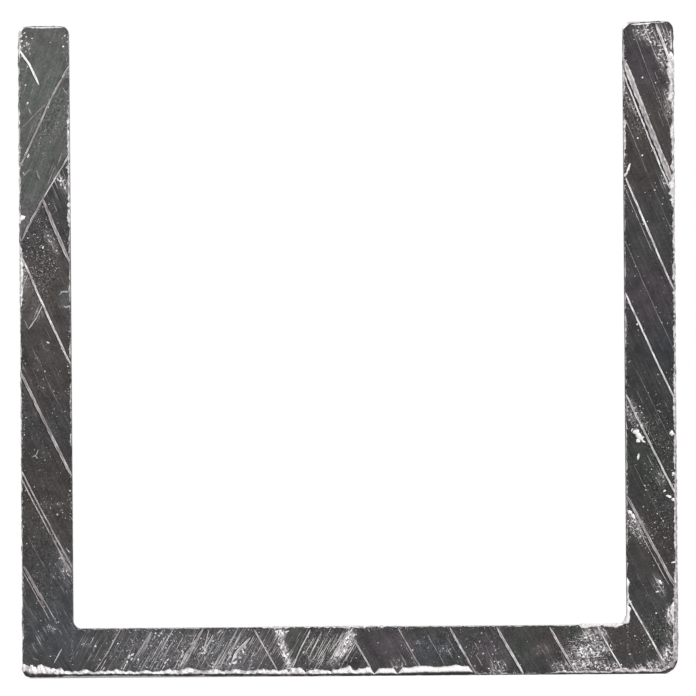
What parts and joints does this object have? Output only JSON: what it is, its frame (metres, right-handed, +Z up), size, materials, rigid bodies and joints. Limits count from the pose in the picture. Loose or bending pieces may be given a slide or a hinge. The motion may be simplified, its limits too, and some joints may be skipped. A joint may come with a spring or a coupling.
{
  "type": "aluminium u channel",
  "caption": "Straight bar of square U-channel aluminium extrusion: its legs are as tall as its web is wide, and its ends are sawn square.",
  "frame": {"origin": "on the underside of the web, midway along the bar and midway across it", "axes": "+X across the section, +Y along the bar, +Z up from the web towards the tips of the legs"},
  "size_m": [0.04, 0.5, 0.04],
  "materials": {
    "aluminium": "mill finish along the bar, with coarse saw marks and burrs on the two sawn ends"
  },
  "bodies": {
    "root": {"u_channel": "aluminium"}
  },
  "joints": []
}
